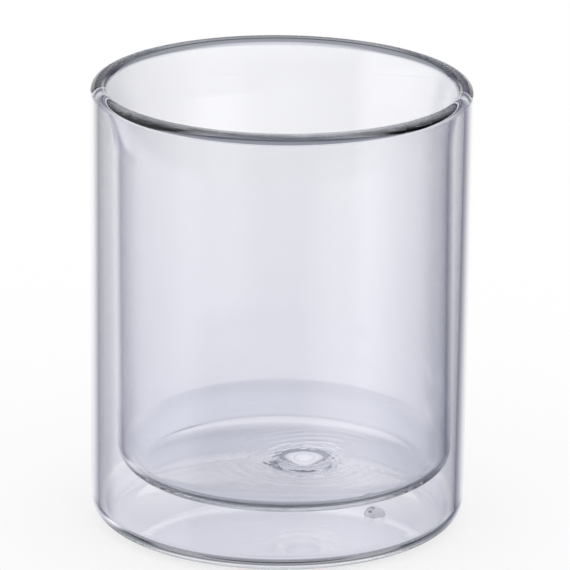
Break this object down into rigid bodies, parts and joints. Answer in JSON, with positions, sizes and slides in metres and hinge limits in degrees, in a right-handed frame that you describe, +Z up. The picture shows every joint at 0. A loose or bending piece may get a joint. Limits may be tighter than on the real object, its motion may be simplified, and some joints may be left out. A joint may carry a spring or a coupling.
{
  "type": "double-walled glass cup",
  "caption": "Straight clear glass cup with an inner glass hung inside an outer glass, air between them, a fused round rim and a sealed vent in the base.",
  "frame": {"origin": "centre of the foot ring, on the surface that the cup stands on", "axes": "+Z up along the cup's axis to the mouth; +X towards the side where the vent seal and the closing drop lie, -Y to the viewer"},
  "size_m": [0.08, 0.08, 0.095],
  "materials": {
    "outer_glass": "clear fire-polished borosilicate glass",
    "inner_glass": "clear fire-polished borosilicate glass with faint flow rings in its floor",
    "rim_bead": "clear melted glass bead, smooth",
    "vent_seal": "clear melted drop of glass"
  },
  "bodies": {
    "root": {"outer_glass": "outer_glass", "inner_glass": "inner_glass", "rim_bead": "rim_bead", "vent_seal": "vent_seal"}
  },
  "joints": []
}
